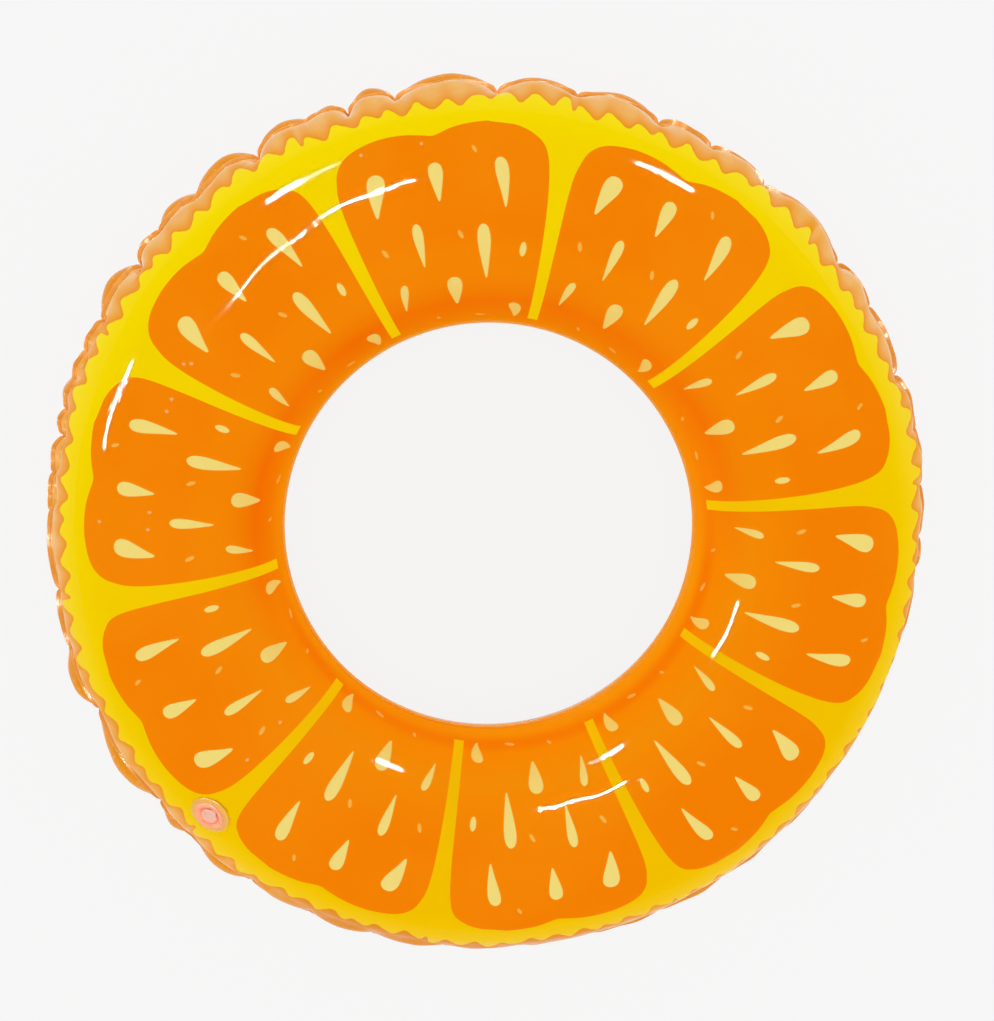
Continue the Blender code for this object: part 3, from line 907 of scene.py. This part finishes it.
def margin_colour(tree, flat, beyond):
    """Outside the peel: streaked, and lighter further out, partly the bare film's own colour and
    partly painted shade that is darkest at the peel's edge; darker and golden on one side as
    painted shade.
    """
    # The ramp is partly the bare film's own colour, lighter further out, and partly painted shade,
    # darkest just outside the peel's edge.
    margin = tree.ramp(tree.times(beyond, 1 / MARGIN_MM), [
        (0.0, 238, 147, 28), (0.1, 244, 161, 46), (0.3, 245, 176, 76), (0.6, 246, 186, 98),
        (1.0, 242, 174, 84),
    ])
    streak = tree.step(tree.noise(flat, 0.05, 4.0, 0.6), 0.45, 0.7, 0.0, 0.4)
    margin = tree.mix(streak, margin, srgb(246, 158, 70))
    # Painted shade: darker, more golden orange on the side away from the lamps.
    return tree.mix(tree.side(flat, SHADED_SIDE_DEG, 0.85, 0.97), margin, srgb(232, 142, 4))


def printed_shine(tree, flat, inward, beyond):
    """Strength of reflections: none on the wall of the hole, most on the margin, and little on the
    outer side away from the side that faces the lamps."""
    shine = tree.step(beyond, 2.0, 26.0, 0.04, 0.2)
    shine = tree.times(shine, tree.step(inward, 52.0, 70.0))
    dull = tree.times(tree.step(inward, 150.0, 190.0), tree.side(flat, LAMP_SIDE_DEG, 0.3, -0.2))
    return tree.times(shine, tree.math("MULTIPLY_ADD", dull, -0.75, 1.0))


def printed_film_material():
    tree = Tree("printed_film")
    flat, place = tree.own_place("print_place"), tree.own_place()
    angle, inward, size, spot = folded(tree, flat)
    reach = tree.times(inward, 1 / SPAN_MM)
    inside = segment_mask(tree, angle, inward, size)
    rind = tree.step(inward, DIVIDER_START_MM - PEEL_BLUR, DIVIDER_START_MM + PEEL_BLUR)
    yellow = tree.times(rind, tree.minus(1.0, inside))
    colour = tree.mix(yellow, pulp_colour(tree, flat, place, reach), pith_colour(tree, flat, reach))
    cream = tree.ramp(reach, [(0.14, 246, 212, 106), (0.3, 246, 222, 124)])
    beyond = beyond_peel(tree, flat, angle, inward)
    for share, ink in (
        (drop_mask(tree, spot, DROP_OUTLINE, DROPS), cream),
        (drop_mask(tree, spot, LENS_OUTLINE, PIPS), cream),
        (tree.times(drop_mask(tree, spot, LENS_OUTLINE, FLECKS), 0.7), srgb(247, 196, 90)),
        (tree.times(speck_mask(tree, flat), 0.7), srgb(250, 190, 130)),
        (tree.step(beyond, -PEEL_BLUR, PEEL_BLUR), margin_colour(tree, flat, beyond)),
    ):
        colour = tree.mix(share, colour, ink)
    # Light that comes through the film where it turns down into the hole
    lit = tree.side(flat, LIT_LESS_DEG, 0.2, 1.0, 0.14, 0.07)
    return tree.finish(
        colour, *film_gloss(tree, place, flat), printed_shine(tree, flat, inward, beyond),
        Emission_Color=colour, Emission_Strength=tree.times(tree.step(inward, 75.0, 8.0), lit),
    )


def back_film_material():
    tree = Tree("back_film")
    place = tree.own_place()
    flecks = tree.node("ShaderNodeTexVoronoi", {"Vector": place, "Scale": 210.0}).outputs[0]
    patch = tree.noise(place, 60.0, 2.0)
    amount = tree.times(tree.step(flecks, 0.34, 0.12), tree.step(patch, 0.42, 0.62))
    base = tree.mix(tree.noise(place, 12.0, 3.0), srgb(236, 142, 14), srgb(243, 158, 26))
    colour = tree.mix(tree.times(amount, 0.7), base, srgb(246, 190, 70))
    return tree.finish(colour, *film_gloss(tree, place), 0.11)


def weld_material(name, dark, light, shaded_colour=None):
    """Fused film. The last argument, if given, is its colour on the side away from the lamps,
    painted darker there as shade.
    """
    tree = Tree(name)
    place = tree.own_place()
    colour = tree.mix(tree.noise(place, 120.0, 3.0), srgb(*dark), srgb(*light))
    if shaded_colour:
        turn = SHADED_SIDE_DEG + FIRST_DIVIDER_DEG + PRINT_TURN_DEG
        colour = tree.mix(tree.side(place, turn, 0.85, 0.97), colour, srgb(*shaded_colour))
    normal = tree.bump(tree.noise(place, 900.0, detail=2.0), 0.0001, 0.5)
    rough = tree.step(tree.noise(place, 200.0, detail=2.0), 0.3, 0.7, 0.2, 0.34)
    return tree.finish(colour, rough, normal, 0.12)


def valve_material(name, dark, light, glow=0.0, flange=None):
    """Moulded soft PVC, slightly translucent. glow stands for light that comes through it, and
    flange for the colour of its thin welded edge, through which the print shows."""
    tree = Tree(name)
    place = tree.own_place()
    grain = tree.step(tree.noise(place, 260.0, 3.0), 0.3, 0.7)
    colour = tree.mix(grain, srgb(*dark), srgb(*light))
    if flange:
        away = tree.vector("LENGTH", tree.level(tree.own_place("valve_place")), out=1)
        away = tree.math("MULTIPLY_ADD", tree.noise(place, 300.0, detail=2.0), 0.002, away)
        colour = tree.mix(tree.step(away, COLLAR_R - 0.0005, DISC_R), colour, srgb(*flange))
    normal = tree.bump(tree.noise(place, 700.0, 3.0), 0.00006, 0.5)
    rough = tree.step(tree.noise(place, 300.0, detail=2.0), 0.3, 0.7, 0.22, 0.36)
    return tree.finish(
        colour, rough, normal, 0.25, Emission_Color=colour, Emission_Strength=glow,
        Subsurface_Weight=0.6, Subsurface_Radius=(1.0, 0.6, 0.5), Subsurface_Scale=0.002,
    )


# The valve's pieces, in valve coordinates

def placed(obj, move=Matrix.Identity(4)):
    """Into the ring, with the place in valve coordinates kept for the material."""
    mesh = obj.data
    mesh.transform(move)
    keep_places(mesh, "valve_place", read(mesh.vertices, "co", width=3))
    mesh.transform(VALVE)
    return sharpened(obj)


def valve_base():
    """Welded disc that follows the film, with pressed weld rings and a raised collar."""
    top = SEAT_GAP + DISC_T
    collar = top + COLLAR_RISE
    edge = COLLAR_RISE / 2
    profile = arc(MOUTH_R + LIP_R, collar - LIP_R, LIP_R, 180, 90, 4)
    profile += arc(COLLAR_R - edge, collar - edge, edge, 90, 0, 6)
    profile += arc(COLLAR_R + SOFT_R, top + SOFT_R, SOFT_R, 180, 270, 3)
    profile += [(ridge + x, top + z) for ridge in WELD_RIDGES for x, z in RIDGE_OUTLINE]
    profile += [(DISC_R - 0.0005, top - 0.0001), (DISC_R - 0.0001, top - 0.0004)]
    profile += [(radius, SEAT_GAP) for radius in (DISC_R, DISC_R - 0.002, 0.0135, 0.0125, MOUTH_R)]
    obj = lathe("valve_disc", profile, 128)
    points = read(obj.data.vertices, "co", float, 3)
    points[:, 2] += film_fall(points[:, 0], points[:, 1])
    obj.data.vertices.foreach_set("co", points.reshape(-1))
    return placed(obj)


def valve_web():
    """Thin cup that hangs from the mouth, with a soft corner."""
    wall = MOUTH_R - SEAT_GAP - WEB_T / 2
    floor = -POCKET_DEPTH
    top = SEAT_GAP + DISC_T + COLLAR_RISE / 2
    inner = STEM_R + FOOT_WIDTH + SEAT_GAP
    line = [(wall, z) for z in np.linspace(top, floor + WEB_CORNER_R, 14)]
    bend = arc(wall - WEB_CORNER_R, floor + WEB_CORNER_R, WEB_CORNER_R, 0, -90, 8)
    line += bend[1:] + [(inner, floor)]
    return placed(thickened(lathe("rolling_web", line, 96, closed=False), WEB_T))


def valve_stem():
    """Tube with a foot that sits on the web, and a lug under it from which the flap hangs."""
    bottom = STEM_TOP - STEM_LENGTH
    foot_top = -POCKET_DEPTH + FOOT_T / 2
    foot_r = STEM_R + FOOT_WIDTH
    profile = [(STEM_BORE_R + SOFT_R, STEM_TOP)]
    profile += arc(STEM_R - SOFT_R, STEM_TOP - SOFT_R, SOFT_R, 90, 0, 4)
    profile += [(STEM_R, foot_top + 0.0002), (STEM_R + 0.0002, foot_top)]
    profile += [(foot_r, foot_top), (foot_r, foot_top - FOOT_T), (STEM_R, foot_top - FOOT_T)]
    profile += [(STEM_R, bottom + SOFT_R), (STEM_R - SOFT_R, bottom), (STEM_BORE_R, bottom)]
    profile += [(STEM_BORE_R, STEM_TOP - SOFT_R)]
    near = STEM_BORE_R + FLAP_MARGIN + SEAT_GAP
    low = bottom - SEAT_GAP - FLAP_T / 2
    high = bottom + LUG_T
    middle = Matrix.Translation((0, near + LUG_T / 2, (low + high) / 2))
    box = bmesh.new()
    size = Matrix.Diagonal((LUG_WIDTH, LUG_T, high - low, 1.0))
    bmesh.ops.create_cube(box, size=1.0, matrix=middle @ size)
    lug = mesh_object("lug", [], [])
    box.to_mesh(lug.data)
    box.free()
    return placed(united(lathe("mouth_tube", profile, 80), lug))


def check_flap():
    radius = STEM_BORE_R + FLAP_MARGIN
    middle = STEM_TOP - STEM_LENGTH - SEAT_GAP - FLAP_T / 2
    profile = rounded_disc(radius, -FLAP_T / 2, FLAP_T / 2, FLAP_EDGE_R)
    disc = lathe("air_flap", profile, 64, closed=False)
    return placed(disc, Matrix.Translation((0, 0, middle)))


def valve_plug():
    """Tapered stopper with a waist under its head, a dimple in the head, and a finger tab."""
    under = STEM_TOP + SEAT_GAP
    top = under + PLUG_HEAD_T
    edge = PLUG_HEAD_T / 2
    fit = STEM_BORE_R - SEAT_GAP
    tip = under - PLUG_DEPTH
    tip_r = fit - PLUG_TAPER
    profile = [(0, top - 0.0005), (0.0022, top - 0.0005), (0.0026, top - 0.0004), (0.0030, top)]
    profile += arc(PLUG_HEAD_R - edge, under + edge, edge, 90, -90, 12)
    profile += [(fit, under), (fit - 0.0001, under - 0.002), (fit, under - 0.0023)]
    profile += [(fit - 0.0001, under - 0.0026)]
    profile += arc(tip_r - edge, tip + edge, edge, 0, -90, 6) + [(0, tip)]
    low = under + (PLUG_HEAD_T - TAB_T) / 2
    tab = lathe("tab", rounded_disc(TAB_R, low, low + TAB_T, TAB_EDGE_R), 48, closed=False)
    tab.data.transform(Matrix.Translation((0, PLUG_HEAD_R + TAB_REACH - TAB_R, 0)))
    return placed(united(lathe("air_plug", profile, 80, closed=False), tab))


def strap():
    """Narrow band from the ring round the stem, down into the pocket and up to the plug."""
    leg = STEM_R + SEAT_GAP + RING_T / 2
    ring_middle = -RING_DEPTH
    bend = ring_middle - STRAP_DROP
    outer_leg = leg + 2 * STRAP_BEND_R
    end = PLUG_HEAD_R + SEAT_GAP
    top_r = outer_leg - end
    top = STEM_TOP + SEAT_GAP + PLUG_HEAD_T / 2
    line = [(leg, z) for z in np.linspace(ring_middle, bend, 8)]
    line += arc(leg + STRAP_BEND_R, bend, STRAP_BEND_R, 180, 360, 12)[1:]
    line += [(outer_leg, z) for z in np.linspace(bend, top - top_r, 12)[1:]]
    line += arc(end, top - top_r, top_r, 0, 90, 8)[1:]
    wide = np.linspace(-STRAP_WIDTH / 2, STRAP_WIDTH / 2, 7)
    points = [(x, y, z) for y, z in line for x in wide]
    obj = mesh_object("plug_leash", points, grid_faces(len(line), len(wide), False))
    thickened(obj, STRAP_T)
    inner, outer = STEM_R + SEAT_GAP, STEM_R + SEAT_GAP + RING_T
    high, low = ring_middle + RING_HEIGHT / 2, ring_middle - RING_HEIGHT / 2
    ring = lathe("ring", [(outer, high), (outer, low), (inner, low), (inner, high)], 80)
    return placed(united(obj, ring))


# The whole

def dress(obj, finish, nodes, body=None):
    obj.data.materials.clear()
    obj.data.materials.append(finish)
    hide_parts(*nodes)
    if body:
        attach(obj, body)
    return obj


def build_ring():
    printed = printed_film_material()
    back = back_film_material()
    # The outer weld's third colour is painted shade on the side away from the lamps.
    weld = weld_material("outer_weld", (236, 150, 52), (246, 176, 84), (232, 148, 10))
    # The hole's weld is coloured lighter than the film as painted light, since it lies in shade
    # facing into the hole.
    hole_weld = weld_material("hole_weld", (255, 178, 60), (255, 200, 96))
    dress(film("printed_sheet", 1), printed, ["upper_film"], "ring")
    dress(film("back_sheet", -1), back, ["lower_film"], "ring")
    profile = rim_profile(FILM_OUT_R - WELD_LAP, OUTER_R, WELD_T)
    outer = weld_ring("outer_rim", profile, column_places(), True)
    dress(sharpened(outer, 60), weld, ["outer_weld_seam"], "ring")
    # The hole's rim is the same bar turned about the hole's edge
    profile = rim_profile(2 * HOLE_R - FILM_IN_R - WELD_LAP, HOLE_R, WELD_T)
    profile = [(2 * HOLE_R - radius, height) for radius, height in profile[::-1]]
    around = np.arange(HOLE_COLUMNS) * 2 * math.pi / HOLE_COLUMNS
    inner = weld_ring("hole_rim", profile, around, False)
    dress(sharpened(inner, 60), hole_weld, ["inner_weld_seam"], "ring")


def build_valve():
    vinyl = (248, 168, 130), (253, 186, 150)
    pink = valve_material("valve_vinyl", *vinyl)
    disc = valve_material("disc_vinyl", *vinyl, 0.05, (252, 184, 84))
    pale = valve_material("plug_vinyl", (250, 184, 160), (254, 200, 178))
    web_pink = valve_material("web_vinyl", (248, 166, 130), (252, 186, 150), 0.30)
    dress(valve_base(), disc, ["valve_base"], "ring")
    web = dress(valve_web(), web_pink, ["valve_web"])
    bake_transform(web)
    dress(valve_stem(), pink, ["valve_stem"], "stem")
    dress(check_flap(), pink, ["check_flap"], "flap")
    dress(valve_plug(), pale, ["valve_plug"], "plug")
    leash = dress(strap(), pale, ["plug_strap"])
    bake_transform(leash)


# Floor, lights and camera

def floor_material():
    """White paint. Camera, glossy and transmission rays see it almost evenly white."""
    tree = Tree("floor")
    tree.nodes.remove(tree.shader)
    white = srgb(247, 247, 247)
    paint = tree.node("ShaderNodeBsdfDiffuse", {0: white}).outputs[0]
    glow = tree.node("ShaderNodeEmission", {0: white}).outputs[0]
    rays = tree.node("ShaderNodeLightPath").outputs
    seen = [rays[f"Is {kind} Ray"] for kind in ("Camera", "Glossy", "Transmission")]
    share = tree.times(tree.over_all("ADD", seen), FLOOR_GLOW)
    both = tree.node("ShaderNodeMixShader", {0: share, 1: paint, 2: glow}).outputs[0]
    tree.put(tree.nodes["Material Output"].inputs[0], both)
    return tree.material


def floor():
    obj = mesh_object("floor", [(-6, -6, 0), (6, -6, 0), (6, 6, 0), (-6, 6, 0)], [range(4)])
    obj.data.materials.append(floor_material())


def area_light(name, place, target, width, height, radiance, mirrored=True):
    """A rectangle of light whose surface shows this radiance. It is a little warm and only shows
    in reflections, or white and never in them."""
    data = bpy.data.lights.new(name, "AREA")
    data.shape = "RECTANGLE"
    data.size = width
    data.size_y = height
    data.energy = radiance * width * height * math.pi
    data.color = (1.0, 0.95, 0.74) if mirrored else (1.0, 1.0, 1.0)
    obj = linked(name, data)
    obj.location = place
    obj.rotation_euler = (Vector(target) - Vector(place)).to_track_quat("-Z", "Y").to_euler()
    obj.visible_camera = False
    obj.visible_diffuse = not mirrored
    obj.visible_glossy = mirrored
    return obj


def in_photo(x, y, height=STRIP_HEIGHT):
    """A place over the ring, given by the photograph's right and up."""
    turn = Matrix.Rotation(math.radians(PRINT_TURN_DEG), 3, "Z")
    return CENTRE + turn @ Vector((x, y, height))


def direction(azimuth_deg, elevation_deg):
    """A way out from the middle, given by the photograph's azimuth."""
    a, e = math.radians(azimuth_deg + PRINT_TURN_DEG), math.radians(elevation_deg)
    return Vector((math.cos(e) * math.cos(a), math.cos(e) * math.sin(a), math.sin(e)))


def strip_light(name, start, end, target, width, radiance, spread_deg=180.0):
    """A strip from start to end that shows in reflections only, and whose light leaves it no
    further than half the spread from the way to the target."""
    middle = (start + end) / 2
    half = math.radians(spread_deg) / 2
    # The renderer keeps a lamp's power as its spread narrows, so the power is lowered with it
    share = 1.0 if half > 1.5 else 1 - half / math.tan(half)
    lamp = area_light(name, middle, target, width, (end - start).length, radiance * share)
    lamp.data.spread = math.radians(spread_deg)
    back = (middle - target).normalized()
    along = end - start
    up = (along - along.dot(back) * back).normalized()
    axes = Matrix((up.cross(back), up, back)).transposed().to_4x4()
    lamp.matrix_world = Matrix.Translation(middle) @ axes


def lights():
    world = bpy.data.worlds.new("sky")
    bpy.context.scene.world = world
    world.use_nodes = True
    background = world.node_tree.nodes["Background"]
    background.inputs[0].default_value = (1.0, 1.0, 1.0, 1.0)
    background.inputs[1].default_value = SKY
    far, bend, near = (in_photo(*place) for place in STRIP)
    middle, aside = bend.lerp(near, 0.5), in_photo(*STRIP_ASIDE, 0.0)
    strip_light("strip_far", far, bend, CENTRE, 0.072, 1900.0)
    strip_light("strip_middle", bend, middle, aside, 0.034, 4200.0, STRIP_SPREAD_DEG)
    strip_light("strip_near", middle, near, aside, 0.024, 4600.0, STRIP_SPREAD_DEG)
    for number, (azimuth, width, height, radiance) in enumerate(WINDOWS):
        spot = CENTRE + direction(azimuth, WINDOW_RISE_DEG) * WINDOW_DISTANCE
        area_light(f"window_{number}", spot, CENTRE, width, height, radiance)
    area_light("top", (0, 0, 3.2), (0, 0, 0), 3.4, 3.4, 1.35, mirrored=False)
    for azimuth in range(0, 360, 60):
        spot = CENTRE + direction(azimuth, 22) * 3.2
        area_light(f"side_{azimuth}", spot, CENTRE, 3.0, 2.4, 1.15, mirrored=False)


def camera():
    """Above the ring, tipped towards the photograph's top."""
    back = direction(CAMERA_AZIMUTH_DEG, 90 - CAMERA_TILT_DEG)
    right = in_photo(1, 0) - in_photo(0, 0)
    right = (right - right.dot(back) * back).normalized()
    data = bpy.data.cameras.new("camera")
    data.sensor_width = SENSOR_MM
    data.lens = FOCAL_PX * SENSOR_MM / PHOTO_PX
    data.shift_x, data.shift_y = (shift / PHOTO_PX for shift in SHIFT_PX)
    obj = linked("camera", data)
    axes = Matrix((right, back.cross(right), back)).transposed().to_4x4()
    obj.matrix_world = Matrix.Translation(CENTRE + back * CAMERA_DISTANCE) @ axes
    bpy.context.scene.camera = obj


bpy.context.scene.view_settings.view_transform = "Standard"
camera()
lights()
floor()
build_ring()
build_valve()
